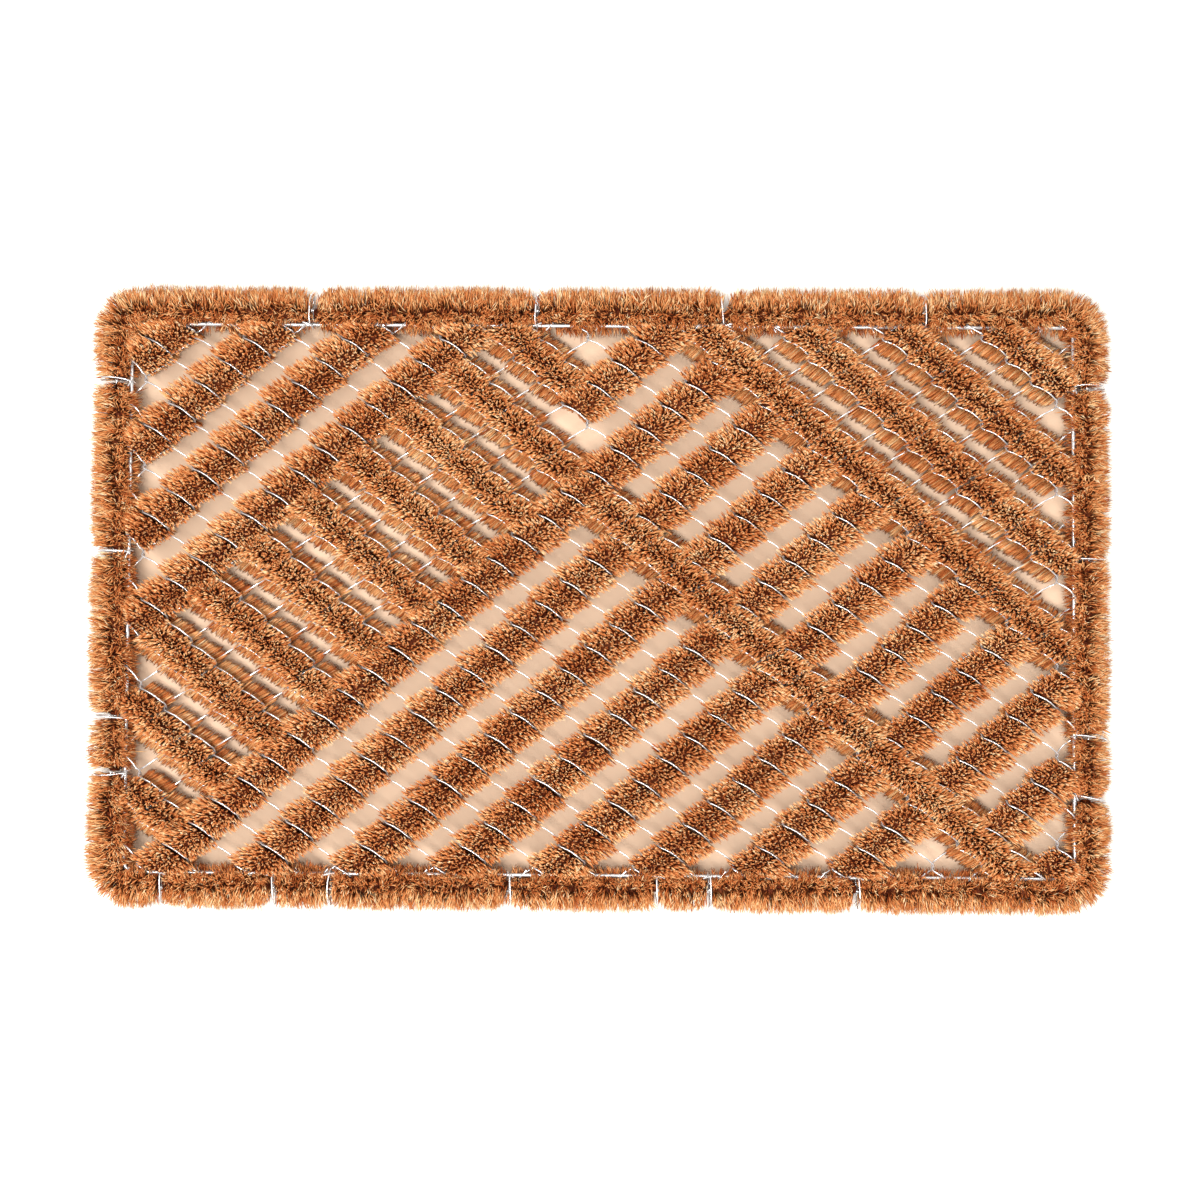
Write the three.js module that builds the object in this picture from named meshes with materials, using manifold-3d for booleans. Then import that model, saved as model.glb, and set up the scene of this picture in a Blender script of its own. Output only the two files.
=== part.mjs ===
// Door mat of coir tufts held in a chain-link wire mesh, with a coir brush border.
//
// Millimetres, +Z up. The origin is the centre of the underside, X runs along the long side and
// Y along the short side. Every second row of the mesh's diamonds is packed with coir, which
// makes the strips; the rows left empty let dirt fall through.

import * as THREE from 'three';
import { mergeVertices } from 'three/addons/utils/BufferGeometryUtils.js';
import Module from 'manifold-3d';

const wasm = await Module();
wasm.setup();

// Driving dimensions
const matLength = 600;
const matWidth = 366;
const matHeight = 26;
const cornerRadius = 27;
const gap = 0.3;                    // clearance between pieces that touch

// Wire mesh: diamonds twice as long and twice as wide as these pitches
const pitchX = 14.6;
const pitchY = 13;
const meshRows = 24;
const columnZeroX = -271;           // the mesh's first column of crossings
const rowZeroY = -pitchY * meshRows / 2;
const meshLevel = matHeight / 2;
const meshWire = 1.4;               // corner to corner of the square wire
const layerShift = 0.65;            // the two layers of wire lie this far above and below the level
const lastDiagonal = 64;
const shortestRun = 1.5 * pitchX;   // shorter diagonals would foul the frame's rounded corners

// Heavy wires, set in from the mat's edge
const frameWire = 2.2;
const frameChamfer = 0.6;
const frameInset = 20.5;
const spineWire = 2.4;
const spineInset = 12;
const meshInset = 23.0;             // the mesh's wires end here, just inside the frame wire

// Border brush
const borderWidth = 26.5;
const ledgeInset = 18.6;            // above the frame wire the brush is narrower than below it
const edgeRound = 5;
const tieCut = 1.7;                 // slot that a tie wire pulls into the brush
const cornerSteps = 5;              // facets in a quarter turn

// Tie wires: upright loops round the border brush and the frame wire
const tieWire = 1.0;
const tieOuterInset = 3;
const tieInnerInset = 22.1;
const tieLow = 4;
const tieHigh = matHeight - tieLow;

// Coir strips: an hourglass section, narrowest between the wires that run beside it. The longer
// side of the bristles, past those wires, spreads wide and the shorter side stays narrow.
const stripWide = 29;
const stripNarrow = 21;
const stripWaist = 17.4;
const notchMouth = 3;               // V cut where a wire crosses a strip
const stripEndInset = 5.2;          // leaves room for the spread of the strip that it meets

const halfLength = matLength / 2;
const halfWidth = matWidth / 2;
const cellSide = Math.hypot(pitchX, pitchY);
const beyond = 1;                   // how far a cutter runs past what it cuts
const flatness = 0.002;             // facets this close to one plane are merged

// Strips as [first column, first row, number of tufts]. A rising strip goes up to the right from
// its first tuft, a falling strip down to the right.
const risingStrips = [
  [0, 23, 2], [0, 19, 6], [0, 15, 10], [0, 11, 14], [1, 0, 23], [18, 21, 4],
  [5, 0, 15], [21, 16, 5], [9, 0, 13], [23, 14, 5], [13, 0, 11], [25, 12, 5],
  [17, 0, 9], [27, 10, 5], [21, 0, 7], [29, 8, 5], [25, 0, 5], [31, 6, 5],
  [29, 0, 3], [33, 4, 5], [35, 2, 3], [37, 0, 1],
];
const fallingStrips = [
  [0, 3, 2], [0, 7, 4], [1, 10, 5], [3, 12, 5], [5, 14, 5], [7, 16, 5], [9, 18, 5],
  [11, 20, 5], [13, 22, 5], [15, 24, 3], [19, 16, 17], [23, 24, 15], [27, 24, 11],
  [31, 24, 7], [35, 24, 3],
];

// Where the tie wires pinch the border, measured along each side from its middle
const tiePlaces = {
  bottom: [-257, -191, -157, -52, 35, 65, 152],
  right: [-115, -80, 25, 126],
  top: [191, 72, -38, -172],
  left: [128, 27, -71, -104],
};

const coirColours = [0xb97a3f, 0xb06f37, 0xc08247];
const steel = new THREE.MeshStandardMaterial({ color: 0xb4b5b8, metalness: 0.9, roughness: 0.35 });

function coir(index) {
  const color = coirColours[index % coirColours.length];
  return new THREE.MeshStandardMaterial({ color, metalness: 0, roughness: 0.95 });
}

// Solids and meshes

function toSolid(geometry) {
  const bare = geometry.index ? geometry.toNonIndexed() : geometry.clone();
  bare.deleteAttribute('normal');
  bare.deleteAttribute('uv');
  const merged = mergeVertices(bare, 1e-4);
  const vertProperties = new Float32Array(merged.attributes.position.array);
  const triVerts = new Uint32Array(merged.index.array);
  return new wasm.Manifold(new wasm.Mesh({ numProp: 3, vertProperties, triVerts }));
}

function toMesh(name, solid, material) {
  const { vertProperties, triVerts } = solid.asOriginal().simplify(flatness).getMesh();
  const geometry = new THREE.BufferGeometry();
  geometry.setAttribute('position', new THREE.Float32BufferAttribute(vertProperties, 3));
  geometry.setIndex(new THREE.Uint32BufferAttribute(triVerts, 1));
  geometry.computeVertexNormals();
  const mesh = new THREE.Mesh(geometry, material);
  mesh.name = name;
  return mesh;
}

function polygon(points) {
  return new THREE.Shape(points.map(([x, y]) => new THREE.Vector2(x, y)));
}

function roundedRectangle(halfX, halfY, radius, target = new THREE.Shape()) {
  target.moveTo(halfX, -halfY + radius);
  target.lineTo(halfX, halfY - radius);
  target.absarc(halfX - radius, halfY - radius, radius, 0, Math.PI / 2);
  target.lineTo(-halfX + radius, halfY);
  target.absarc(-halfX + radius, halfY - radius, radius, Math.PI / 2, Math.PI);
  target.lineTo(-halfX, -halfY + radius);
  target.absarc(-halfX + radius, -halfY + radius, radius, Math.PI, 1.5 * Math.PI);
  target.lineTo(halfX - radius, -halfY);
  target.absarc(halfX - radius, -halfY + radius, radius, 1.5 * Math.PI, 2 * Math.PI);
  return target;
}

// A section drawn in (across, up), run level from one point to another. Across is to the right
// of the direction of travel.
function levelBar(section, from, to) {
  const length = Math.hypot(to[0] - from[0], to[1] - from[1]);
  const geometry = new THREE.ExtrudeGeometry(section, { depth: length, bevelEnabled: false });
  const along = new THREE.Vector3((to[0] - from[0]) / length, (to[1] - from[1]) / length, 0);
  const across = new THREE.Vector3(along.y, -along.x, 0);
  const up = new THREE.Vector3(0, 0, 1);
  // ExtrudeGeometry runs along its own +Z, so travel is reversed to keep the frame right-handed
  const place = new THREE.Matrix4().makeBasis(across, up, along.clone().negate());
  place.setPosition(to[0], to[1], 0);
  geometry.applyMatrix4(place);
  return toSolid(geometry);
}

function levelSlab(outline, low, high) {
  const geometry = new THREE.ExtrudeGeometry(outline, {
    depth: high - low,
    bevelEnabled: false,
    curveSegments: cornerSteps,
  });
  geometry.translate(0, 0, low);
  return toSolid(geometry);
}

// Slab in the shape of the mat, set in from its edge
function insetSlab(inset, low, high) {
  const radius = Math.max(cornerRadius - inset, gap);
  return levelSlab(roundedRectangle(halfLength - inset, halfWidth - inset, radius), low, high);
}

// Places in the mesh

const crossing = (column, row) => [columnZeroX + column * pitchX, rowZeroY + row * pitchY];
const meshHalfX = halfLength - meshInset;
const meshHalfY = halfWidth - meshInset;

// Diagonal through the crossing at the foot of a column, clipped to the mesh. rise is +1 or -1.
function diagonal(column, rise) {
  const [x, y] = crossing(column, 0);
  const slope = rise * pitchY / pitchX;
  const xAt = (height) => x + (height - y) / slope;
  const start = Math.max(-meshHalfX, xAt(-rise * meshHalfY));
  const end = Math.min(meshHalfX, xAt(rise * meshHalfY));
  return [[start, y + slope * (start - x)], [end, y + slope * (end - x)]];
}

// Wires

// Falling wires lie on top of the rising ones and are joined to them where they cross
function wireMesh() {
  const half = meshWire / 2;
  const square = (level) => polygon([
    [0, level - half], [half, level], [0, level + half], [-half, level],
  ]);
  const upper = square(meshLevel + layerShift);
  const lower = square(meshLevel - layerShift);
  let solid = null;
  for (let column = -meshRows; column <= lastDiagonal; column += 2) {
    for (const [section, rise] of [[upper, -1], [lower, 1]]) {
      const [from, to] = diagonal(column, rise);
      if (to[0] - from[0] < shortestRun) continue;
      const bar = levelBar(section, from, to);
      solid = solid ? solid.add(bar) : bar;
    }
  }
  return solid;
}

// Rounded rectangle of wire, with a square section or an eight-sided one
function wireRing(inset, thickness, chamfer = 0) {
  const half = thickness / 2 - chamfer;
  const outline = (offset) => [
    halfLength - inset + offset, halfWidth - inset + offset, cornerRadius - inset + offset,
  ];
  const shape = roundedRectangle(...outline(half));
  shape.holes.push(roundedRectangle(...outline(-half), new THREE.Path()));
  const geometry = new THREE.ExtrudeGeometry(shape, {
    depth: thickness - 2 * chamfer,
    bevelEnabled: chamfer > 0,
    bevelSize: chamfer,
    bevelThickness: chamfer,
    bevelSegments: 1,
    curveSegments: cornerSteps,
  });
  geometry.translate(0, 0, meshLevel - thickness / 2 + chamfer);
  return toSolid(geometry);
}

// Sides of the border: the middle of each side's outer edge, its direction of travel
// (anticlockwise seen from above) and half its length
const sides = {
  bottom: { middle: [0, -halfWidth], along: [1, 0], half: halfLength },
  right: { middle: [halfLength, 0], along: [0, 1], half: halfWidth },
  top: { middle: [0, halfWidth], along: [-1, 0], half: halfLength },
  left: { middle: [-halfLength, 0], along: [0, -1], half: halfWidth },
};

// Distance along a side, from its middle, of a tie given by its X or Y
function tieDistance(side, place) {
  const [alongX, alongY] = sides[side].along;
  return place * (alongX + alongY);
}

function pointOnSide(side, distance) {
  const { middle, along } = sides[side];
  return [middle[0] + along[0] * distance, middle[1] + along[1] * distance];
}

function tieLoop(side, place) {
  const rectangle = (target, inset) => {
    const [outer, inner] = [-tieOuterInset - inset, -tieInnerInset + inset];
    target.moveTo(inner, tieLow + inset);
    target.lineTo(outer, tieLow + inset);
    target.lineTo(outer, tieHigh - inset);
    target.lineTo(inner, tieHigh - inset);
    return target;
  };
  const shape = rectangle(new THREE.Shape(), 0);
  shape.holes.push(rectangle(new THREE.Path(), tieWire));
  const distance = tieDistance(side, place);
  return levelBar(
    shape, pointOnSide(side, distance - tieWire / 2), pointOnSide(side, distance + tieWire / 2),
  );
}

function frameWithTies() {
  let solid = wireRing(frameInset, frameWire, frameChamfer);
  for (const [side, places] of Object.entries(tiePlaces)) {
    for (const place of places) solid = solid.add(tieLoop(side, place));
  }
  return solid;
}

// Coir strips

// The waist is level with the wires that run beside the strip: the lower layer for a rising
// strip, the upper layer for a falling one
function hourglass(rise) {
  const [top, foot] = rise > 0 ? [stripWide / 2, stripNarrow / 2] : [stripNarrow / 2, stripWide / 2];
  const waist = stripWaist / 2;
  const level = meshLevel - rise * layerShift;
  return polygon([
    [foot, 0], [waist, level], [top, matHeight], [-top, matHeight], [-waist, level], [-foot, 0],
  ]);
}

// V cut for the wire that crosses a strip, from above for a rising strip and from below for a
// falling one
function notchSection(rise) {
  const root = meshWire / 2 + gap;
  const tip = notchMouth / 2;
  const floor = meshLevel + rise * (layerShift - root);
  const mouth = rise > 0 ? matHeight + beyond : -beyond;
  return polygon([[-root, floor], [root, floor], [tip, mouth], [-tip, mouth]]);
}

// Middle of the side that a strip's tuft shares with the one before it
function tuftSide([column, row], rise, tuft) {
  return crossing(column - 0.5 + tuft, row + rise * (tuft - 0.5));
}

function stripSolid(strip, rise, room) {
  const tufts = strip[2];
  const [startX, startY] = tuftSide(strip, rise, 0);
  const [endX, endY] = tuftSide(strip, rise, tufts);
  const inset = stripEndInset / cellSide;
  const ends = [
    [startX + pitchX * inset, startY + rise * pitchY * inset],
    [endX - pitchX * inset, endY - rise * pitchY * inset],
  ];
  const corner = ([x, y], turn) => [x + turn * pitchX, y - turn * rise * pitchY];
  const outline = polygon([
    corner(ends[0], 1), corner(ends[1], 1), corner(ends[1], -1), corner(ends[0], -1),
  ]);
  const bar = levelBar(
    hourglass(rise), tuftSide(strip, rise, -1), tuftSide(strip, rise, tufts + 1),
  );
  let solid = bar.intersect(levelSlab(outline, -beyond, matHeight + beyond)).intersect(room);
  for (let tuft = 1; tuft < tufts; tuft += 1) {
    const middle = tuftSide(strip, rise, tuft);
    solid = solid.subtract(levelBar(notchSection(rise), corner(middle, -1), corner(middle, 1)));
  }
  return solid;
}

// Border brush

// The whole border before the ties divide it: rounded outside, stepped inside to seat the frame
// wire, with a tunnel for the spine wire
function borderRing() {
  const shape = roundedRectangle(
    halfLength - edgeRound, halfWidth - edgeRound, cornerRadius - edgeRound,
  );
  const outside = new THREE.ExtrudeGeometry(shape, {
    depth: matHeight - 2 * edgeRound,
    bevelSize: edgeRound,
    bevelThickness: edgeRound,
    bevelSegments: 2,
    curveSegments: cornerSteps,
  });
  outside.translate(0, 0, edgeRound);
  const ledge = meshLevel - frameWire / 2 - gap;
  return toSolid(outside)
    .subtract(insetSlab(borderWidth, -beyond, ledge + beyond))
    .subtract(insetSlab(ledgeInset, ledge, matHeight + beyond))
    .subtract(wireRing(spineInset, spineWire + 2 * gap));
}

// Outlines of the lengths that the ties cut the border into, each from one tie to the next,
// round any corner between them
function borderOutlines() {
  const names = Object.keys(sides);
  const stops = names.flatMap(
    (side) => tiePlaces[side].map((place) => [side, tieDistance(side, place)]),
  );
  const at = ([side, distance], inward) => {
    const [x, y] = pointOnSide(side, distance);
    const [alongX, alongY] = sides[side].along;
    return [x - alongY * inward, y + alongX * inward];
  };
  const shifted = ([side, distance], shift) => [side, distance + shift];
  const outside = -beyond;
  const inside = borderWidth + beyond;
  return stops.map((stop, index) => {
    const next = stops[(index + 1) % stops.length];
    const start = shifted(stop, tieCut / 2);
    const end = shifted(next, -tieCut / 2);
    const sideEnd = [stop[0], sides[stop[0]].half];
    const turns = stop[0] !== next[0];
    const outerTurn = turns ? [at(shifted(sideEnd, -outside), outside)] : [];
    const innerTurn = turns ? [at(shifted(sideEnd, -inside), inside)] : [];
    return polygon([
      at(start, outside), ...outerTurn, at(end, outside),
      at(end, inside), ...innerTurn, at(start, inside),
    ]);
  });
}

const group = new THREE.Group();
const label = (index) => String(index + 1).padStart(2, '0');

const room = insetSlab(borderWidth + gap, -beyond, matHeight + beyond);
risingStrips.forEach((strip, index) => {
  group.add(toMesh(`rising_strip_${label(index)}`, stripSolid(strip, 1, room), coir(index)));
});
fallingStrips.forEach((strip, index) => {
  group.add(toMesh(`falling_strip_${label(index)}`, stripSolid(strip, -1, room), coir(index)));
});

const ring = borderRing();
borderOutlines().forEach((outline, index) => {
  const length = ring.intersect(levelSlab(outline, -beyond, matHeight + beyond));
  group.add(toMesh(`border_brush_${label(index)}`, length, coir(index)));
});

group.add(toMesh('wire_mesh', wireMesh(), steel));
group.add(toMesh('frame_wire', frameWithTies(), steel));
group.add(toMesh('border_spine', wireRing(spineInset, spineWire), steel));

export default group;
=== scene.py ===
# Coir door mat on a wire mesh: the looks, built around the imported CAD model.
# Blender works in metres. Sizes are written as millimetres times MM.

import math

import bpy
import numpy as np
from mathutils import Euler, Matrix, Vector
from mathutils.bvhtree import BVHTree


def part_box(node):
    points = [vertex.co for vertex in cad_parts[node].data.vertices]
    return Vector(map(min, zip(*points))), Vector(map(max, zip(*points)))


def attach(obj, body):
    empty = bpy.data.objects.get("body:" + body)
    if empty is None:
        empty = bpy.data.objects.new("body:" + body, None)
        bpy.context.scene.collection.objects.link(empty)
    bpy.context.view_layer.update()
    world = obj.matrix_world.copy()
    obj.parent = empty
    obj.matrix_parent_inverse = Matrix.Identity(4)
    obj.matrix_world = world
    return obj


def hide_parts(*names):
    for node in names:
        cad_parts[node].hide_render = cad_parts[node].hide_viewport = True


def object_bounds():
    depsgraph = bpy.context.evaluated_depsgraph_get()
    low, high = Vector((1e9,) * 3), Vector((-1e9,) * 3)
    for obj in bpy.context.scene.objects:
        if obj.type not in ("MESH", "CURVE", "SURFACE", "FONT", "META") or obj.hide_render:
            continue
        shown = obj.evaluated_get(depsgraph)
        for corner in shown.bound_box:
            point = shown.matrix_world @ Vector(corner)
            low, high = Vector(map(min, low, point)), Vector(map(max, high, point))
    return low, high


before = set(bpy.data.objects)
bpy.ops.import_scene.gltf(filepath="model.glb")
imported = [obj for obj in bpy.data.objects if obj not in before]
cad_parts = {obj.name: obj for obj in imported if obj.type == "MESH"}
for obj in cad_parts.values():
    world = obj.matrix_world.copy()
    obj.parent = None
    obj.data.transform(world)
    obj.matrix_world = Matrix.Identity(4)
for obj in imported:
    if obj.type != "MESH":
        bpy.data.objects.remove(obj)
cad_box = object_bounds()
random = np.random.default_rng(20)

MM = 0.001
UP = np.array([0.0, 0.0, 1.0])

# The mat, as in the CAD model
CAD_LOW, CAD_HIGH = (np.array(corner) for corner in cad_box)
HALF_LENGTH = (CAD_HIGH[0] - CAD_LOW[0]) / 2
HALF_WIDTH = (CAD_HIGH[1] - CAD_LOW[1]) / 2
MAT_HEIGHT = CAD_HIGH[2]
CORNER_RADIUS = 27 * MM
FRAME_INSET = 20.5 * MM
FRAME_WIRE = 2.2 * MM
SPINE_INSET = 12 * MM
SPINE_WIRE = 2.4 * MM
MESH_LEVEL = 13 * MM

# The wire mesh's lattice. Strips fill cells, whose centres are at odd column + row. Wires cross
# at even column + row.
PITCH_X = 14.6 * MM
PITCH_Y = 13 * MM
COLUMN_ZERO_X = -271 * MM
ROW_ZERO_Y = -156 * MM
COLUMNS = 38
ROWS = 24

# The spirals that make the mesh: their half height, their bends and how their limbs curve
MESH_WIRE = 0.95 * MM
SPIRAL_RISE = 3.2 * MM
BEND_BULGE = 1.6 * MM
BEND_TRAVEL = 5.2 * MM
BEND_STEPS = 8
LIMB_BOW = 0.9 * MM
LOWER_LIMB_BOW = 0.5 * MM
LIMB_ARCH = 1.2 * MM
LIMB_STEPS = 5

# Tie wires, by the X or Y of each from the middle of its side, anticlockwise from the bottom left
TIE_WIRE = 0.9 * MM
TIE_PLACES = {
    "bottom": [-257, -191, -157, -52, 35, 65, 152],
    "right": [-115, -80, 25, 126],
    "top": [191, 72, -38, -172],
    "left": [128, 27, -71, -104],
}
# Places where the border's bristles part with no tie between them
PARTINGS = {"bottom": [-18, 249], "right": [-98], "top": [249, 175, -197], "left": [109, -88, -142]}

# Coir fibres, which stand in clumps
FIBRE = 0.5 * MM
BORDER_FIBRE = 0.56 * MM
FIBRES_IN_CLUMP = 4
BORDER_CLUMPS_PER_MM = 11.5


# Materials

def linear(red, green, blue):
    """A display colour, 0 to 255, as the shader's linear colour."""
    def channel(value):
        value = value / 255
        return value / 12.92 if value <= 0.04045 else ((value + 0.055) / 1.055) ** 2.4
    return (channel(red), channel(green), channel(blue), 1.0)


def grey(value):
    return (value, value, value, 1.0)


def new_material(name):
    material = bpy.data.materials.new(name)
    material.use_nodes = True
    tree = material.node_tree
    shader = next(node for node in tree.nodes if node.type == "BSDF_PRINCIPLED")
    return material, tree, shader


def ramp(tree, source, stops):
    """A colour ramp fed by a socket, from (position, colour) pairs."""
    node = tree.nodes.new("ShaderNodeValToRGB")
    elements = node.color_ramp.elements
    while len(elements) < len(stops):
        elements.new(0.5)
    for element, (position, colour) in zip(elements, stops):
        element.position = position
        element.color = colour
    tree.links.new(source, node.inputs["Fac"])
    return node.outputs["Color"]


def noise_in_place(tree, scale):
    """Noise that stays with the object it is on."""
    place = tree.nodes.new("ShaderNodeTexCoord")
    noise = tree.nodes.new("ShaderNodeTexNoise")
    noise.inputs["Scale"].default_value = scale
    tree.links.new(place.outputs["Object"], noise.inputs["Vector"])
    return noise


# The exporter keeps a UV map of this name and makes its own where there is none
BRISTLE_MAP = "OFBake"


def coir_material():
    """Coconut fibre. A bristle's map runs across by its own tone and up from its root to its tip."""
    material, tree, shader = new_material("coir_fibre")
    mapped = tree.nodes.new("ShaderNodeUVMap")
    mapped.uv_map = BRISTLE_MAP
    parts = tree.nodes.new("ShaderNodeSeparateXYZ")
    tree.links.new(mapped.outputs["UV"], parts.inputs["Vector"])
    tone = ramp(tree, parts.outputs["X"], [
        (0.0, linear(150, 72, 30)),
        (0.25, linear(200, 116, 60)),
        (0.55, linear(232, 162, 102)),
        (0.8, linear(249, 206, 150)),
        (1.0, linear(255, 238, 200)),
    ])
    # Painted shade: each bristle darkens towards its root, where it lies deep in its tuft, with redder
    # darks
    shade = ramp(tree, parts.outputs["Y"], [
        (0.0, (0.11, 0.045, 0.015, 1.0)),
        (0.4, (0.27, 0.14, 0.065, 1.0)),
        (0.65, (0.72, 0.6, 0.5, 1.0)),
        (1.0, grey(1.0)),
    ])
    mix = tree.nodes.new("ShaderNodeMix")
    mix.data_type = "RGBA"
    mix.blend_type = "MULTIPLY"
    mix.inputs["Factor"].default_value = 1.0
    tree.links.new(tone, mix.inputs["A"])
    tree.links.new(shade, mix.inputs["B"])
    tree.links.new(mix.outputs["Result"], shader.inputs["Base Color"])
    roughness = ramp(tree, parts.outputs["X"], [(0.0, grey(0.85)), (1.0, grey(0.55))])
    tree.links.new(roughness, shader.inputs["Roughness"])
    shader.inputs["Specular IOR Level"].default_value = 0.18
    return material


def galvanised_material(name, base, scale):
    """Zinc-coated wire: bright metal with a faint mottle and duller patches."""
    material, tree, shader = new_material(name)
    noise = noise_in_place(tree, scale)
    noise.inputs["Detail"].default_value = 4.0
    colour = ramp(tree, noise.outputs["Fac"], [
        (0.3, linear(*(0.82 * part for part in base))),
        (0.62, linear(*base)),
    ])
    tree.links.new(colour, shader.inputs["Base Color"])
    roughness = ramp(tree, noise.outputs["Fac"], [(0.3, grey(0.22)), (0.7, grey(0.13))])
    tree.links.new(roughness, shader.inputs["Roughness"])
    bump = tree.nodes.new("ShaderNodeBump")
    bump.inputs["Strength"].default_value = 0.15
    bump.inputs["Distance"].default_value = 0.1 * MM
    tree.links.new(noise.outputs["Fac"], bump.inputs["Height"])
    tree.links.new(bump.outputs["Normal"], shader.inputs["Normal"])
    shader.inputs["Metallic"].default_value = 0.55
    return material


def floor_material(name, dull, bright):
    """A matt floor with a faint drift between two display colours."""
    material, tree, shader = new_material(name)
    noise = noise_in_place(tree, 3.0)
    colour = ramp(tree, noise.outputs["Fac"], [(0.3, linear(*dull)), (0.7, linear(*bright))])
    tree.links.new(colour, shader.inputs["Base Color"])
    shader.inputs["Roughness"].default_value = 0.9
    return material


# Meshes

def new_piece(name, points, faces, face_uvs, material):
    """A smooth mesh piece from arrays: points, faces of three corners and a map point per corner."""
    mesh = bpy.data.meshes.new(name)
    mesh.vertices.add(len(points))
    mesh.vertices.foreach_set("co", np.asarray(points, np.float32).ravel())
    mesh.loops.add(faces.size)
    mesh.loops.foreach_set("vertex_index", faces.astype(np.int32).ravel())
    mesh.polygons.add(len(faces))
    mesh.polygons.foreach_set("loop_start", np.arange(0, faces.size, 3, dtype=np.int32))
    mesh.polygons.foreach_set("use_smooth", np.ones(len(faces), bool))
    mesh.update(calc_edges=True)
    layer = mesh.uv_layers.new(name=BRISTLE_MAP)
    layer.uv.foreach_set("vector", np.asarray(face_uvs, np.float32).ravel())
    mesh.validate()
    mesh.materials.append(material)
    piece = bpy.data.objects.new(name, mesh)
    bpy.context.scene.collection.objects.link(piece)
    return piece


def unit(vectors):
    return vectors / np.linalg.norm(vectors, axis=-1, keepdims=True)


def signed_power(values, power):
    return np.sign(values) * np.abs(values) ** power


# A bristle is thickest at its shoulder, a share of the way up. Its points are the root, three
# round the shoulder and the tip. Tones and shades are places on its map, from 0 to 1. Its shade is
# painted shade, dark at the root deep in the tuft and light at the tip.
SHOULDER = 0.76
KINK = 0.35 * MM
THINNEST, THICKEST = 0.7, 1.3
DARKEST_TONE, PALEST_TONE = 0.01, 0.99
ROOT_SHADE = 0.02
TIP_SHADE = 0.98
BRISTLE_POINTS = 5
BRISTLE_FACES = np.array([[0, 2, 1], [0, 3, 2], [0, 1, 3], [4, 1, 2], [4, 2, 3], [4, 3, 1]])


def bristles(roots, tips, tones, thickness=FIBRE, root_shade=ROOT_SHADE):
    """Fibres as slim closed spindles, a little bent at the shoulder."""
    count = len(roots)
    along = unit(tips - roots)
    side = unit(np.cross(along, random.normal(size=(count, 3))))
    other = np.cross(along, side)
    radius = thickness / 2 * random.uniform(THINNEST, THICKEST, (count, 1))
    bend = side * random.normal(0, KINK, (count, 1))
    middle = roots + (tips - roots) * SHOULDER + bend
    points = np.empty((count, BRISTLE_POINTS, 3))
    points[:, 0] = roots
    for corner in range(3):
        angle = 2 * math.pi * corner / 3
        points[:, 1 + corner] = middle + radius * (side * math.cos(angle) + other * math.sin(angle))
    points[:, 4] = tips
    faces = (BRISTLE_FACES[None] + BRISTLE_POINTS * np.arange(count)[:, None, None]).reshape(-1, 3)
    shades = np.array([root_shade, SHOULDER, SHOULDER, SHOULDER, TIP_SHADE])
    uvs = np.empty((count, len(BRISTLE_FACES), 3, 2))
    uvs[..., 0] = np.clip(tones, DARKEST_TONE, PALEST_TONE)[:, None, None]
    uvs[..., 1] = shades[BRISTLE_FACES][None]
    return points.reshape(-1, 3), faces, uvs.reshape(-1, 3, 2)


# A core is painted dark, as shade in the packed middle of a tuft or brush: a low tone and deep painted
# shade
CORE_TONE = 0.3
CORE_TONE_SPREAD = 0.2
CORE_SHADE = 0.12


def loft(rings):
    """A packed core of fibre, painted dark as shade: a closed skin over rings of points, with a fan over
    each end ring.
    """
    rings = np.asarray(rings, float)
    levels, around = rings.shape[:2]
    points = np.concatenate([rings.reshape(-1, 3), [rings[0].mean(0), rings[-1].mean(0)]])
    first_end, last_end = len(points) - 2, len(points) - 1
    top = (levels - 1) * around
    faces = []
    for corner in range(around):
        after = (corner + 1) % around
        for level in range(levels - 1):
            low, high = level * around, (level + 1) * around
            faces.append([low + corner, low + after, high + after])
            faces.append([low + corner, high + after, high + corner])
        faces.append([first_end, after, corner])
        faces.append([last_end, top + corner, top + after])
    faces = np.array(faces)
    uvs = np.empty((len(faces), 3, 2))
    uvs[..., 0] = CORE_TONE + random.uniform(-CORE_TONE_SPREAD, CORE_TONE_SPREAD, (len(faces), 1))
    uvs[..., 1] = CORE_SHADE
    return points, faces, uvs


def joined(parts):
    """Joins several (points, faces, uvs) into one."""
    starts = np.cumsum([0] + [len(points) for points, _, _ in parts[:-1]])
    points = np.concatenate([part[0] for part in parts])
    faces = np.concatenate([part[1] + start for part, start in zip(parts, starts)])
    uvs = np.concatenate([part[2] for part in parts])
    return points, faces, uvs


def bristle_piece(node, parts, material):
    """One CAD node's coir, in its place."""
    piece = new_piece(f"{node}_bristles", *joined(parts), material)
    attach(piece, "root")
    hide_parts(node)


def spread(count):
    """Evenly jittered places over a square from -1 to 1, in random order."""
    step = int(math.ceil(math.sqrt(count)))
    columns, rows = np.meshgrid(np.arange(step), np.arange(step))
    places = np.stack([columns.ravel(), rows.ravel()], 1) + random.uniform(0, 1, (step * step, 2))
    random.shuffle(places)
    return places[:count] / step * 2 - 1


# Inner strips

# A tuft fills one cell. Its reach from its middle is in steps of the lattice along and across its
# strip. The limbs that run beside a rising strip are the lower ones, so its upper bristles spread
# wide, and a falling strip is the other way up. The wide side is parted by the limbs that cross it.
WAIST_ALONG = 0.455
WAIST_ACROSS = 0.44
PARTED_ROOTS = 0.92
MERGED_ROOTS = 1.05
WIDE_FAN_ROOTS = 0.7
NARROW_FAN_ROOTS = 0.4
PARTED_ALONG = 0.47
MERGED_ALONG = 0.54
HALF_STEP = 0.5
SKEW = 0.18
LIMB_OFFSET = 2.8 * MM

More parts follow.
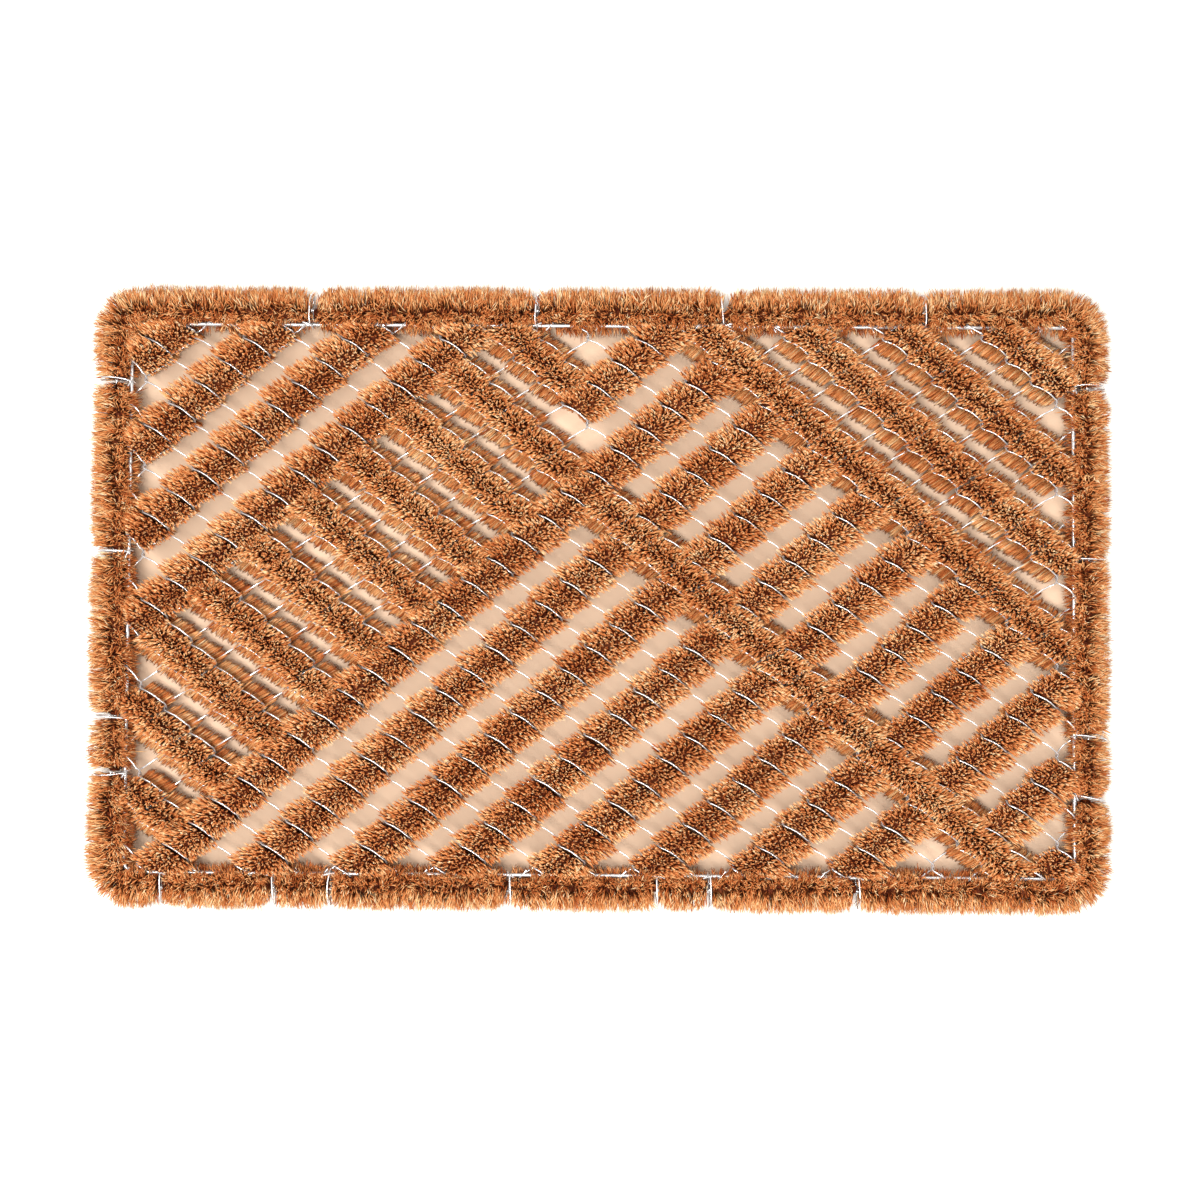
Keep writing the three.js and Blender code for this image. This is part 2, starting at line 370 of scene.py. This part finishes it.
# The four kinds of cushion: how many clumps, how far the tips reach across the strip, and how the
# clumps crowd, below 1 to the strip's sides and above 1 to its middle
CUSHIONS = {
    ("wide", "above"): (250, 0.82, 0.95),
    ("wide", "below"): (300, 0.95, 0.5),
    ("narrow", "above"): (210, 0.6, 1.1),
    ("narrow", "below"): (210, 0.6, 0.5),
}

# How far a cushion's crown falls away to the strip's sides and to the notches between cushions
WIDE_DROP = 4.6 * MM
NARROW_DROP = 4.4 * MM
NOTCH_DROP = 2.6 * MM
SIDE_POWER = 2.5
NOTCH_POWER = 4

# Random differences between tufts, between clumps and between fibres
TUFT_TONE, TUFT_TONE_SPREAD = 0.5, 0.05
TUFT_LEAN_SPREAD = 0.02
CLUMP_TONE_SPREAD = 0.17
CLUMP_LEAN_SPREAD = 0.022
CLUMP_DEPTH_SPREAD = 0.8 * MM
FIBRE_TONE_SPREAD = 0.16
FIBRE_DEPTH = 1.2 * MM
ROOT_HEIGHT = 2 * MM
ROOT_SCATTER_ALONG = 0.08
ROOT_SCATTER_ACROSS = 0.1
TIP_SCATTER_ALONG = 0.014
TIP_SCATTER_ACROSS = 0.012

# A tuft's core: how deep its ends lie below the tips, and its reach at them and at the waist
CORE_DEPTH = 8.5 * MM
CORE_ALONG = 0.38
CORE_WAIST_ALONG = 0.42
CORE_WIDE_ACROSS = 0.5
CORE_WAIST_ACROSS = 0.4
CORE_NARROW_ACROSS = 0.36

# Roots keep clear of the frame wire, and it draws back the tips that lean over it
ROOT_CLEARANCE = 2.4 * MM
TIP_CLEARANCE = 1.2 * MM
DRAWN_BACK = 0.45

# Bristles below the mesh show their root ends from above, so those get little of the painted root shade
FOOT_ROOT_SHADE = 0.6


def crossing(column, row):
    return np.array([COLUMN_ZERO_X + column * PITCH_X, ROW_ZERO_Y + row * PITCH_Y, 0.0])


def cells_of(node):
    """The lattice cells that a CAD strip covers, as (column, row), from left to right."""
    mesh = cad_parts[node].data
    corners = [vertex.co for vertex in mesh.vertices]
    tree = BVHTree.FromPolygons(corners, [tuple(face.vertices) for face in mesh.polygons])
    low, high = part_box(node)
    cells = []
    for column in range(COLUMNS + 1):
        for row in range(ROWS + 1):
            x, y, _ = crossing(column, row)
            in_box = low[0] < x < high[0] and low[1] < y < high[1]
            if (column + row) % 2 and in_box:
                if tree.ray_cast(Vector((x, y, 2 * MAT_HEIGHT)), Vector((0, 0, -1)))[0]:
                    cells.append((column, row))
    return cells


def inside_frame(points):
    """True for points within the frame wire."""
    reach_x = HALF_LENGTH - FRAME_INSET - ROOT_CLEARANCE
    reach_y = HALF_WIDTH - FRAME_INSET - ROOT_CLEARANCE
    return (np.abs(points[:, 0]) < reach_x) & (np.abs(points[:, 1]) < reach_y)


def held_in(points):
    """Points past the frame wire drawn back towards it, as it holds the bristles there."""
    for axis, half in ((0, HALF_LENGTH), (1, HALF_WIDTH)):
        reach = half - FRAME_INSET - TIP_CLEARANCE
        excess = np.clip(np.abs(points[:, axis]) - reach, 0, None)
        points[:, axis] -= np.sign(points[:, axis]) * excess * DRAWN_BACK
    return points


def in_cell(centre, steps, lengthwise, crosswise, height):
    """Points of a tuft, skewed as the limbs of the mesh are against the lattice."""
    along, across = steps
    skewed_length = lengthwise + SKEW * np.clip(crosswise, -HALF_STEP, HALF_STEP)
    skewed_cross = crosswise + SKEW * np.clip(lengthwise, -HALF_STEP, HALF_STEP)
    flat = centre + along * skewed_length[:, None] + across * skewed_cross[:, None]
    return flat + UP * np.asarray(height)[:, None]


def tuft(centre, steps, rise):
    """One cell of a strip: a cushion of bristles above and another below a dark core."""
    waist = MESH_LEVEL - rise * LIMB_OFFSET
    tone = random.normal(TUFT_TONE, TUFT_TONE_SPREAD)
    lean = random.normal(0, TUFT_LEAN_SPREAD, 2)
    parts = [tuft_core(centre, steps, rise, waist)]
    for up in (1, -1):
        parts.append(cushion(centre, steps, up, up == rise, waist, tone, lean))
    return parts


def tuft_core(centre, steps, rise, waist):
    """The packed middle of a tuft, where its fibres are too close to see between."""
    corners = np.array([(-1, -1), (1, -1), (1, 1), (-1, 1)], float)
    if rise > 0:
        corners = corners[::-1]
    top_across = CORE_WIDE_ACROSS if rise > 0 else CORE_NARROW_ACROSS
    foot_across = CORE_NARROW_ACROSS if rise > 0 else CORE_WIDE_ACROSS
    rings = []
    for height, reach_along, reach_across in (
        (CORE_DEPTH, CORE_ALONG, foot_across),
        (waist, CORE_WAIST_ALONG, CORE_WAIST_ACROSS),
        (MAT_HEIGHT - CORE_DEPTH, CORE_ALONG, top_across),
    ):
        lengthwise = corners[:, 0] * reach_along
        crosswise = corners[:, 1] * reach_across
        heights = np.full(len(corners), height)
        rings.append(held_in(in_cell(centre, steps, lengthwise, crosswise, heights)))
    return loft(rings)


def crown_drop(lengthwise, crosswise, wide):
    """How far a cushion's crown falls away at places on it."""
    drop = (WIDE_DROP if wide else NARROW_DROP) * np.abs(crosswise) ** SIDE_POWER
    if wide:
        drop += NOTCH_DROP * np.abs(lengthwise) ** NOTCH_POWER
    return drop


def parted(lengthwise, crosswise, up):
    """Tips on the wide side, kept between the limbs that cross it. The upper limbs' bow shifts them."""
    lengthwise = np.clip(lengthwise, -PARTED_ALONG, PARTED_ALONG)
    if up > 0:
        bow = LIMB_BOW / math.hypot(PITCH_X, PITCH_Y)
        lengthwise += bow * np.clip(1 - (crosswise / HALF_STEP) ** 2, 0, 1)
    return lengthwise


def cushion(centre, steps, up, wide, waist, tuft_tone, tuft_lean):
    """Bristles that fan out from the waist of a tuft, up or down, to a rounded crown of tips."""
    kind = ("wide" if wide else "narrow", "above" if up > 0 else "below")
    clumps, tips_across, crowding = CUSHIONS[kind]
    tips_along = PARTED_ALONG if wide else MERGED_ALONG
    roots_along = WAIST_ALONG * (PARTED_ROOTS if wide else MERGED_ROOTS)
    roots_across = WAIST_ACROSS * (WIDE_FAN_ROOTS if wide else NARROW_FAN_ROOTS)

    # Where each clump stands, from -1 to 1 along and across the strip, and how it differs
    places = spread(clumps)
    places[:, 1] = signed_power(places[:, 1], crowding)
    clump_tones = random.normal(0, CLUMP_TONE_SPREAD, clumps)
    clump_leans = random.normal(0, CLUMP_LEAN_SPREAD, (clumps, 2))
    clump_depths = np.abs(random.normal(0, CLUMP_DEPTH_SPREAD, clumps))

    # Its fibres' roots, close together at the waist
    member = np.repeat(np.arange(clumps), FIBRES_IN_CLUMP)
    count = len(member)
    lengthwise, crosswise = places[member].T
    scatter = random.normal(0, 1, (count, 4))
    roots = in_cell(
        centre, steps,
        roots_along * np.clip(lengthwise + scatter[:, 0] * ROOT_SCATTER_ALONG, -1, 1),
        roots_across * np.clip(crosswise + scatter[:, 1] * ROOT_SCATTER_ACROSS, -1, 1),
        waist + up * random.uniform(0, ROOT_HEIGHT, count),
    )

    # Their tips, spread out over the crown
    depth = crown_drop(lengthwise, crosswise, wide) + clump_depths[member]
    depth += random.uniform(0, FIBRE_DEPTH, count)
    lean = clump_leans[member] + tuft_lean
    tip_length = lengthwise * tips_along + scatter[:, 2] * TIP_SCATTER_ALONG + lean[:, 0]
    tip_cross = crosswise * tips_across + scatter[:, 3] * TIP_SCATTER_ACROSS + lean[:, 1]
    if wide:
        tip_length = parted(tip_length, tip_cross, up)
    level = MAT_HEIGHT if up > 0 else 0.0
    tips = in_cell(centre, steps, tip_length, tip_cross, level - up * depth)

    keep = inside_frame(roots)
    tones = tuft_tone + clump_tones[member] + random.normal(0, FIBRE_TONE_SPREAD, count)
    root_shade = ROOT_SHADE if up > 0 else FOOT_ROOT_SHADE
    return bristles(roots[keep], held_in(tips[keep]), tones[keep], root_shade=root_shade)


def strip_pieces(material):
    """Every strip as its tufts. The steps lead to the next cell along it and across it."""
    for node in sorted(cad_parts):
        if "strip" not in node:
            continue
        rise = 1 if node.startswith("rising") else -1
        steps = np.array([PITCH_X, rise * PITCH_Y, 0.0]), np.array([PITCH_X, -rise * PITCH_Y, 0.0])
        parts = []
        for cell in cells_of(node):
            parts += tuft(crossing(*cell), steps, rise)
        bristle_piece(node, parts, material)


# Border

# The brush's reach from the middle of its roots, which inward is shorter above the mesh than below.
# Its section is an ellipse made squarer by a power below 1.
ROOT_INSET = 14.5 * MM
OUTER_REACH = 17.6 * MM
INNER_REACH_ABOVE = 9.4 * MM
INNER_REACH_BELOW = 14 * MM
UP_REACH = 12.6 * MM
SECTION_POWER = 0.8
LEVEL_RISE = 0.05
ROOT_SHARE = 0.12

# It isn't the same on all sides: its top leans further in at the left and right, and it bulges at
# the left and top
LEFT_COVER = 0.15
RIGHT_COVER = 0.105
LEFT_BULGE = 0.12
TOP_BULGE = 0.1

# A tie leaves a margin between the brushes on either side of it, shortens the bristles next to it
# and turns them away from it. A parting only turns them.
TIE_MARGIN = 0.7 * MM
PINCH_REACH = 4 * MM
PINCH_DEPTH = 0.34
PINCH_LEAN = 4 * MM
PARTING_REACH = 3 * MM
PARTING_LEAN = 2.8 * MM

# Angles of the clumps from straight out, in two groups, and the share in the lower one
LOW_SHARE = 0.3
HIGH_ANGLES = (-0.35, math.pi + 0.1)
LOW_ANGLES = (math.pi, 2 * math.pi)

# Random differences between the border's clumps and between their fibres
BORDER_CLUMP_LEAN = 3.6 * MM
BORDER_CLUMP_TONE = 0.22
BORDER_CLUMP_LENGTH = 0.15
BORDER_FIBRE_SPOT = 0.5 * MM
BORDER_FIBRE_ANGLE = 0.16
BORDER_FIBRE_LEAN = 1.1 * MM
BORDER_FIBRE_LENGTH = (0.9, 1.02)
BORDER_FIBRE_ROOT = 2.4 * MM
BORDER_FIBRE_TONE = 0.12
BORDER_TONE = 0.42
# Tips further out are painted paler, as light from the bright floor round the mat, and tips further in
# darker, as painted shade
OUTWARD_PAINTED_LIGHT = 0.14

# Slow wanders round the mat, as waves in a lap, their height and their share of the phase, and the
# size and phase of each wander
WAVES = [(37, 1, 1), (61, 0.7, 2), (113, 0.5, 0)]
COVER_WANDER = (0.24, 1.0)
LEAN_WANDER = (1.3 * MM, 2.0)
ROOT_WANDER = (1.1 * MM, 0.0)

# The border's core, as a share of the brush's reach
CORE_SHARE = 0.3
CORE_PINCH_DEPTH = 0.5
CORE_MARGIN = 0.9 * MM
CORE_SECTION = 6 * MM
CORE_CORNERS = 14

# The track is a rounded rectangle a little in from the mat's edge. Distances round the mat are
# measured on it, anticlockwise from the left end of the bottom side.
TRACK_INSET = 7 * MM
TRACK_RADIUS = CORNER_RADIUS - TRACK_INSET
STRAIGHT_X = 2 * (HALF_LENGTH - CORNER_RADIUS)
STRAIGHT_Y = 2 * (HALF_WIDTH - CORNER_RADIUS)
ARC = math.pi / 2 * TRACK_RADIUS
SIDE_NAMES = ["bottom", "right", "top", "left"]
SIDE_LENGTHS = [STRAIGHT_X, STRAIGHT_Y, STRAIGHT_X, STRAIGHT_Y]
TRACK_LENGTH = sum(SIDE_LENGTHS) + 4 * ARC


def track(distances):
    """Base points and the directions outward from them, at distances round the mat.

    The mat's edge lies a corner radius outward from a base. On a turn, the base is its centre."""
    distances = np.mod(distances, TRACK_LENGTH)
    bases = np.zeros((len(distances), 3))
    outward = np.zeros((len(distances), 3))
    corner = np.array([-HALF_LENGTH + CORNER_RADIUS, -HALF_WIDTH + CORNER_RADIUS, 0.0])
    start = 0.0
    for index, length in enumerate(SIDE_LENGTHS):
        angle = index * math.pi / 2
        travel = np.array([math.cos(angle), math.sin(angle), 0.0])
        out = np.array([math.sin(angle), -math.cos(angle), 0.0])
        on_side = (distances >= start) & (distances < start + length)
        bases[on_side] = corner + travel * (distances[on_side] - start)[:, None]
        outward[on_side] = out
        corner = corner + travel * length
        start += length
        on_turn = (distances >= start) & (distances < start + ARC)
        turned = (distances[on_turn] - start) / TRACK_RADIUS
        bases[on_turn] = corner
        outward[on_turn] = out * np.cos(turned)[:, None] + travel * np.sin(turned)[:, None]
        start += ARC
    return bases, outward


def border_points(distances, insets, heights):
    """Points at distances round the mat, set in from its edge, at heights."""
    bases, outward = track(np.asarray(distances, float))
    reach = CORNER_RADIUS - np.asarray(insets, float)
    return bases + outward * reach[:, None] + UP * np.asarray(heights, float)[:, None]


def distances_of(places_by_side):
    """Distances round the mat of places on its sides, given as the X or Y of each."""
    distances = []
    for index, side in enumerate(SIDE_NAMES):
        middle = sum(SIDE_LENGTHS[:index]) + index * ARC + SIDE_LENGTHS[index] / 2
        direction = 1 if side in ("bottom", "right") else -1
        distances += [middle + direction * place * MM for place in places_by_side[side]]
    return distances


TIE_DISTANCES = distances_of(TIE_PLACES)
PARTING_DISTANCES = distances_of(PARTINGS)


def brush_profile(angles):
    """Reach outward and upward of the border's tips at angles from straight out."""
    out = signed_power(np.cos(angles), SECTION_POWER)
    rise = signed_power(np.sin(angles), SECTION_POWER)
    inner = np.where(rise > LEVEL_RISE, INNER_REACH_ABOVE, INNER_REACH_BELOW)
    reach = np.where(out > 0, OUTER_REACH, inner)
    return out * reach, rise * UP_REACH


def wandering(distances, size, phase):
    """A slow, smooth wander round the mat."""
    turns = 2 * math.pi * distances / TRACK_LENGTH
    return size * sum(height * np.sin(waves * turns + share * phase) for waves, height, share in WAVES)


def brush_reach(spots, angles):
    """Reach outward and upward of the tips at spots round the mat, which differs from side to side."""
    out, rise = brush_profile(angles)
    outward = track(spots)[1]
    facing_left = np.clip(-outward[:, 0], 0, 1)
    facing_right = np.clip(outward[:, 0], 0, 1)
    facing_top = np.clip(outward[:, 1], 0, 1)
    cover = 1 + LEFT_COVER * facing_left + RIGHT_COVER * facing_right + wandering(spots, *COVER_WANDER)
    out = np.where((out < 0) & (rise > 0), out * cover, out)
    bulge = 1 + LEFT_BULGE * facing_left + TOP_BULGE * facing_top
    return np.where(out > 0, out * bulge, out), rise


def pinch(distances, start, end):
    """1 next to the ties at either end of a length of border, falling to 0 away from them."""
    nearest = np.minimum(distances - start, end - distances)
    return np.exp(-np.clip(nearest, 0, None) / PINCH_REACH)


def turned_away(spots, start, end):
    """How far ties and partings turn the tips at spots along the border."""
    direction = np.where(spots - start < end - spots, 1, -1)
    lean = direction * pinch(spots, start, end) * PINCH_LEAN
    for parting in PARTING_DISTANCES:
        apart = spots - parting
        lean += np.sign(apart) * PARTING_LEAN * np.exp(-np.abs(apart) / PARTING_REACH)
    return lean


def border_length(start, end):
    """The brush between two ties, and its core."""
    first, last = start + TIE_MARGIN, end - TIE_MARGIN

    # Where each clump stands, and how it differs
    clumps = int((end - start) / MM * BORDER_CLUMPS_PER_MM)
    clump_spots = random.uniform(first, last, clumps)
    clump_angles = np.where(
        random.uniform(0, 1, clumps) > LOW_SHARE,
        random.uniform(*HIGH_ANGLES, clumps),
        random.uniform(*LOW_ANGLES, clumps),
    )
    clump_leans = random.normal(0, BORDER_CLUMP_LEAN, clumps)
    clump_tones = random.normal(0, BORDER_CLUMP_TONE, clumps)
    clump_lengths = 1 - np.abs(random.normal(0, BORDER_CLUMP_LENGTH, clumps))

    # Its fibres, from the roots round the spine to the tips
    member = np.repeat(np.arange(clumps), FIBRES_IN_CLUMP)
    count = len(member)
    spots = np.clip(clump_spots[member] + random.normal(0, BORDER_FIBRE_SPOT, count), first, last)
    angles = clump_angles[member] + random.normal(0, BORDER_FIBRE_ANGLE, count)
    out, rise = brush_reach(spots, angles)
    near = pinch(spots, start, end)
    length = (1 - PINCH_DEPTH * near) * clump_lengths[member]
    length *= random.uniform(*BORDER_FIBRE_LENGTH, count)
    lean = clump_leans[member] * (1 - near) + random.normal(0, BORDER_FIBRE_LEAN, count)
    lean += turned_away(spots, start, end) + wandering(spots, *LEAN_WANDER)
    root_insets = ROOT_INSET + wandering(spots, *ROOT_WANDER)
    root_insets += random.normal(0, BORDER_FIBRE_ROOT, count)
    roots = border_points(spots, root_insets, MESH_LEVEL + rise * ROOT_SHARE)
    tips = border_points(spots + lean, ROOT_INSET - out * length, MESH_LEVEL + rise * length)
    tones = BORDER_TONE + clump_tones[member] + random.normal(0, BORDER_FIBRE_TONE, count)
    # Painted light on the outer tips and painted shade on the inner ones
    tones += OUTWARD_PAINTED_LIGHT * out / OUTER_REACH
    return [border_core(start, end), bristles(roots, tips, tones, thickness=BORDER_FIBRE)]


def border_core(start, end):
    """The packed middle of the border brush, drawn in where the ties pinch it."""
    sections = max(4, int((end - start) / CORE_SECTION))
    angles = np.linspace(0, 2 * math.pi, CORE_CORNERS, endpoint=False)
    out, rise = brush_profile(angles)
    rings = []
    for distance in np.linspace(start + CORE_MARGIN, end - CORE_MARGIN, sections):
        size = CORE_SHARE * (1 - CORE_PINCH_DEPTH * pinch(distance, start, end))
        around = np.full(CORE_CORNERS, distance)
        rings.append(border_points(around, ROOT_INSET - out * size, MESH_LEVEL + rise * size))
    return loft(rings)


def border_pieces(material):
    """The lengths of border brush, each from its tie to the next one round."""
    next_ties = TIE_DISTANCES[1:] + [TIE_DISTANCES[0] + TRACK_LENGTH]
    for number, (start, end) in enumerate(zip(TIE_DISTANCES, next_ties), 1):
        bristle_piece(f"border_brush_{number:02d}", border_length(start, end), material)


# Wires

def wire_piece(name, points, thickness, material, node, closed=False):
    """A round wire along points, standing for a CAD node."""
    curve = bpy.data.curves.new(name, "CURVE")
    curve.dimensions = "3D"
    curve.bevel_depth = thickness / 2
    curve.bevel_resolution = 2
    curve.use_fill_caps = not closed
    spline = curve.splines.new("POLY")
    spline.points.add(len(points) - 1)
    flat = np.ones((len(points), 4), np.float32)
    flat[:, :3] = points
    spline.points.foreach_set("co", flat.ravel())
    spline.use_cyclic_u = closed
    curve.materials.append(material)
    piece = bpy.data.objects.new(name, curve)
    bpy.context.scene.collection.objects.link(piece)
    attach(piece, "root")
    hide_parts(node)


# Where bends and end hooks go round the frame wire
HOOK_RADIUS = (FRAME_WIRE + MESH_WIRE) / 2
WRAP_X = HALF_LENGTH - FRAME_INSET + HOOK_RADIUS
HOOK_Y = HALF_WIDTH - FRAME_INSET
HOOK_RUN = 6 * MM
HOOK_TAIL_X = 2.5 * MM
HOOK_TAIL_Y = 3 * MM
HOOK_TAIL_Z = 0.2 * MM


def bend(column, row, side):
    """A half turn at a crossing, from the top limb to the lower one on the right and back on the left.

    It is hooked in its neighbour, or round the frame wire."""
    x = COLUMN_ZERO_X + column * PITCH_X
    tip = float(np.clip(x + side * MESH_WIRE / 2, -WRAP_X, WRAP_X))
    y = ROW_ZERO_Y + row * PITCH_Y
    points = []
    for step in range(BEND_STEPS + 1):
        angle = math.pi * step / BEND_STEPS
        points.append((
            tip - side * BEND_BULGE * (1 - math.sin(angle)),
            y + BEND_TRAVEL / 2 * math.cos(angle),
            MESH_LEVEL + side * SPIRAL_RISE * math.cos(angle),
        ))
    return points


def limb(start, end):
    """Points between the ends of a limb, arched as in a flattened coil and bowed by its bristles."""
    start, end = np.array(start), np.array(end)
    sideways = unit(np.cross(UP, end - start))
    sideways *= np.sign(sideways[1])
    if start[2] > MESH_LEVEL:
        swell = sideways * LIMB_BOW + UP * LIMB_ARCH
    else:
        swell = sideways * LOWER_LIMB_BOW - UP * LIMB_ARCH
    fractions = np.linspace(0, 1, LIMB_STEPS + 2)[1:-1]
    return [tuple(start + (end - start) * part + swell * math.sin(math.pi * part)) for part in fractions]


def hook(x, end_y, slope, over):
    """The turned end of a spiral, round the frame wire and back, with a short tail."""
    sign = 1 if end_y > 0 else -1
    points = []
    for step in range(BEND_STEPS + 1):
        angle = math.pi * step / BEND_STEPS
        points.append((
            x + slope * sign * HOOK_RADIUS * math.sin(angle),
            end_y + sign * HOOK_RADIUS * math.sin(angle),
            MESH_LEVEL + over * HOOK_RADIUS * math.cos(angle),
        ))
    x, y, z = points[-1]
    points.append((x - slope * sign * HOOK_TAIL_X, y - sign * HOOK_TAIL_Y, z - over * HOOK_TAIL_Z))
    return points


def spiral_points(column):
    """One spiral of the mesh, between two columns, from the far side of the mat to the near."""
    stops = []
    for row in range(ROWS, -1, -1):
        if (column + row) % 2 == 0:
            stops.append((column, row, -1))
        else:
            stops.append((column + 1, row, 1))
    points = []
    for stop in stops:
        turn = bend(*stop)
        if points:
            points += limb(points[-1], turn[0])
        points += turn
    first_side, last_side = stops[0][2], stops[-1][2]
    start_x = points[0][0] - first_side * HOOK_RUN
    end_x = points[-1][0] - last_side * HOOK_RUN
    start = hook(start_x, HOOK_Y, -first_side, first_side)
    end = hook(end_x, -HOOK_Y, last_side, -last_side)
    return list(reversed(start)) + points + end


def mesh_pieces(material):
    for number, column in enumerate(range(-1, COLUMNS), 1):
        wire_piece(f"mesh_spiral_{number:02d}", spiral_points(column), MESH_WIRE, material, "wire_mesh")


FRAME_STEPS = 360
SPINE_STEPS = 1800
SPINE_TURNS = 150


def ring_points(inset, count, wave=0.0, turns=0, phase=0.0):
    """Points of a wire all round the mat, winding about its line if it has turns."""
    distances = np.linspace(0, TRACK_LENGTH, count, endpoint=False)
    angles = 2 * math.pi * turns * distances / TRACK_LENGTH + phase
    insets = inset + wave * np.cos(angles)
    return border_points(distances, insets, MESH_LEVEL + wave * np.sin(angles))


def frame_pieces(material):
    """The frame wire, and the two twisted strands of the border's spine."""
    ring = ring_points(FRAME_INSET, FRAME_STEPS)
    wire_piece("frame_wire_ring", ring, FRAME_WIRE, material, "frame_wire", closed=True)
    strand = SPINE_WIRE / 2
    for number, phase in enumerate((0.0, math.pi), 1):
        ring = ring_points(SPINE_INSET, SPINE_STEPS, strand / 2, SPINE_TURNS, phase)
        name = f"border_spine_strand_{number}"
        wire_piece(name, ring, strand, material, "border_spine", closed=True)


# A tie's loop is an ellipse made squarer by powers below 1, from just inside the mat's edge to just
# past the frame wire. Its ends meet side by side over the frame wire, and one runs on as a tail.
TIE_STEPS = 28
TIE_START = 0.8 * math.pi
TIE_OUTER = 2 * MM
TIE_INNER = FRAME_INSET + 2 * MM
TIE_HALF_HEIGHT = 6 * MM
TIE_OUT_POWER = 0.7
TIE_RISE_POWER = 0.8
TIE_SKEW = 0.8 * MM
TIE_SAG = 0.9 * MM
TIE_TAIL_STEPS = 8
TIE_TAIL_START = 0.15
TIE_TAIL_SWING = (0.5, 1)
TIE_TAIL_LENGTH = 5 * MM
TIE_TAIL_INSET = 1.2 * MM
TIE_TAIL_RISE = 1.5 * MM


def tie_points(distance):
    """A tie's loop round the border brush and the frame wire, and its tail."""
    angles = np.linspace(0, 2 * math.pi, TIE_STEPS) + TIE_START
    out = signed_power(np.cos(angles), TIE_OUT_POWER)
    rise = signed_power(np.sin(angles), TIE_RISE_POWER)
    skew = random.normal(0, TIE_SKEW)
    sag = random.normal(0, TIE_SAG)
    insets = (TIE_INNER + TIE_OUTER) / 2 - (TIE_INNER - TIE_OUTER) / 2 * out
    heights = MESH_LEVEL + TIE_HALF_HEIGHT * rise
    twist = np.linspace(-0.5, 0.5, TIE_STEPS) * TIE_WIRE
    along = distance + skew * out + sag * rise ** 2 + twist
    loop = border_points(along, insets, heights)
    fraction = np.linspace(TIE_TAIL_START, 1, TIE_TAIL_STEPS)
    swing = random.choice([-1, 1]) * random.uniform(*TIE_TAIL_SWING)
    tail = border_points(
        along[-1] + fraction * swing * TIE_TAIL_LENGTH,
        insets[-1] - fraction * TIE_TAIL_INSET,
        heights[-1] + fraction * TIE_TAIL_RISE,
    )
    return np.concatenate([loop, tail])


def tie_pieces(material):
    for number, distance in enumerate(TIE_DISTANCES, 1):
        wire_piece(f"tie_wire_{number:02d}", tie_points(distance), TIE_WIRE, material, "frame_wire")


# Studio

CAMERA_DISTANCE = 1.0
CAMERA_TILT = (math.radians(2.01), math.radians(0.55), math.radians(0.37))
CAMERA_LENS = 50.1
CAMERA_SENSOR = 36
CAMERA_NEAR = 0.01

LIGHT_LENGTH = 2.0
LIGHT_WIDTH = 0.4
LIGHT_COLOUR = (1.0, 0.98, 0.95)
SKY_COLOUR = (1.0, 0.99, 0.97, 1.0)
SKY_STRENGTH = 0.35

FLOOR_SIZE = 8
FLOOR_LEVEL = -0.5 * MM
# The painted-shade floor under the mat: its level, and how far in from the mat's edge it stops
UNDER_MAT_LEVEL = -0.2 * MM
UNDER_MAT_INSET = 14 * MM


def add_camera():
    data = bpy.data.cameras.new("camera")
    data.sensor_width = CAMERA_SENSOR
    data.lens = CAMERA_LENS
    data.clip_start = CAMERA_NEAR
    camera = bpy.data.objects.new("camera", data)
    turn = Euler(CAMERA_TILT, "XYZ")
    camera.rotation_euler = turn
    camera.location = turn.to_matrix() @ Vector((0, 0, CAMERA_DISTANCE))
    bpy.context.scene.collection.objects.link(camera)
    bpy.context.scene.camera = camera


def add_strip_light(name, place, power):
    """A long soft light aimed at the mat, level and square to its own direction."""
    data = bpy.data.lights.new(name, "AREA")
    data.shape = "RECTANGLE"
    data.size = LIGHT_LENGTH
    data.size_y = LIGHT_WIDTH
    data.energy = power
    data.color = LIGHT_COLOUR
    lamp = bpy.data.objects.new(name, data)
    lamp.location = place
    lamp.rotation_euler = (-Vector(place)).to_track_quat("-Z", "Y").to_euler()
    bpy.context.scene.collection.objects.link(lamp)


def add_floor(name, length, width, height, dull, bright):
    bpy.ops.mesh.primitive_plane_add(size=1, location=(0, 0, height))
    floor = bpy.context.object
    floor.name = name
    floor.scale = (length, width, 1)
    floor.data.materials.append(floor_material(name, dull, bright))


def add_studio():
    """A floor that is white round the mat and painted beige under it, as shade and light bounced off the
    coir, a soft key light and a softer fill.
    """
    add_floor("floor", FLOOR_SIZE, FLOOR_SIZE, FLOOR_LEVEL, (243, 238, 230), (246, 242, 235))
    length = 2 * (HALF_LENGTH - UNDER_MAT_INSET)
    width = 2 * (HALF_WIDTH - UNDER_MAT_INSET)
    # The floor under the mat is painted beige: painted shade, warmed as light bounced off the coir
    add_floor("floor_painted_shade_under_mat", length, width, UNDER_MAT_LEVEL, (207, 178, 152), (214, 186, 160))
    world = bpy.data.worlds.new("studio")
    world.use_nodes = True
    background = world.node_tree.nodes["Background"]
    background.inputs["Color"].default_value = SKY_COLOUR
    background.inputs["Strength"].default_value = SKY_STRENGTH
    bpy.context.scene.world = world
    add_strip_light("key", (-0.34, -0.38, 1.65), 56)
    add_strip_light("fill", (0.50, 0.56, 1.5), 16)
    bpy.context.scene.view_settings.view_transform = "Standard"


add_camera()
add_studio()
coir = coir_material()
wire = galvanised_material("galvanised_wire", (242, 242, 244), 900)
frame_metal = galvanised_material("galvanised_frame_wire", (226, 226, 226), 500)
strip_pieces(coir)
border_pieces(coir)
mesh_pieces(wire)
frame_pieces(frame_metal)
tie_pieces(wire)
